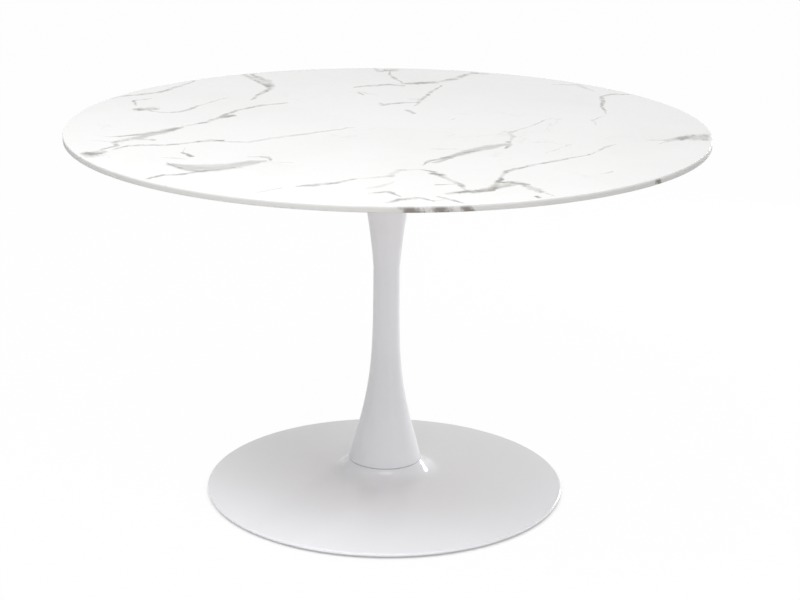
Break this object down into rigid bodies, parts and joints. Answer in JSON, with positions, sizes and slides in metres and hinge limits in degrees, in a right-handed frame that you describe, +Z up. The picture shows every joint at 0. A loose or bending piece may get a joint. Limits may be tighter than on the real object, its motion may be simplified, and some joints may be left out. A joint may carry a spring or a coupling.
{
  "type": "round pedestal table",
  "caption": "Round dining table: thin marbled stone slab on a white trumpet-shaped steel column and a low round dish base with levelling glides.",
  "frame": {"origin": "on the floor, on the axis of the column, at the centre of the ring of glides", "axes": "+Z up along the column's axis, +X to the right and +Y away from the viewer; the table is round, so X and Y differ only by the marbling and the glides"},
  "size_m": [1.1998, 1.2, 0.723],
  "materials": {
    "marbled_stone": "polished",
    "plywood": "matte",
    "brass": "satin",
    "black_steel": "matte",
    "zinc_steel": "satin",
    "bare_steel": "satin",
    "white_paint": "gloss",
    "gasket_rubber": "matte",
    "glide_plastic": "matte"
  },
  "bodies": {
    "table": {"stone_top": "marbled_stone", "backer_board": "plywood", "insert_nuts": "brass", "top_plate": "black_steel", "plate_screws": "zinc_steel", "plate_washers": "zinc_steel", "head_screws": "zinc_steel", "column_shell": "white_paint", "column_head_disc": "bare_steel", "column_foot_disc": "bare_steel", "foot_gasket": "gasket_rubber", "tie_rod": "zinc_steel", "top_washer": "zinc_steel", "top_nut": "zinc_steel", "bottom_washer": "zinc_steel", "bottom_lock_washer": "bare_steel", "bottom_nut": "zinc_steel", "base_shell": "white_paint", "hub_disc": "bare_steel", "hub_tube": "bare_steel", "ballast_plate": "black_steel", "glide_nuts": "zinc_steel"},
    "glide_1": {"glide_stud_1": "zinc_steel", "glide_pad_1": "glide_plastic"},
    "glide_2": {"glide_stud_2": "zinc_steel", "glide_pad_2": "glide_plastic"},
    "glide_3": {"glide_stud_3": "zinc_steel", "glide_pad_3": "glide_plastic"},
    "glide_4": {"glide_stud_4": "zinc_steel", "glide_pad_4": "glide_plastic"},
    "glide_5": {"glide_stud_5": "zinc_steel", "glide_pad_5": "glide_plastic"},
    "glide_6": {"glide_stud_6": "zinc_steel", "glide_pad_6": "glide_plastic"}
  },
  "joints": [
    {"name": "glide_1_travel", "type": "slide", "parent": "table", "child": "glide_1", "axis": [0, 0, 1], "range_m": [-0.006, 0]},
    {"name": "glide_2_travel", "type": "slide", "parent": "table", "child": "glide_2", "axis": [0, 0, 1], "range_m": [-0.006, 0]},
    {"name": "glide_3_travel", "type": "slide", "parent": "table", "child": "glide_3", "axis": [0, 0, 1], "range_m": [-0.006, 0]},
    {"name": "glide_4_travel", "type": "slide", "parent": "table", "child": "glide_4", "axis": [0, 0, 1], "range_m": [-0.006, 0]},
    {"name": "glide_5_travel", "type": "slide", "parent": "table", "child": "glide_5", "axis": [0, 0, 1], "range_m": [-0.006, 0]},
    {"name": "glide_6_travel", "type": "slide", "parent": "table", "child": "glide_6", "axis": [0, 0, 1], "range_m": [-0.006, 0]}
  ]
}
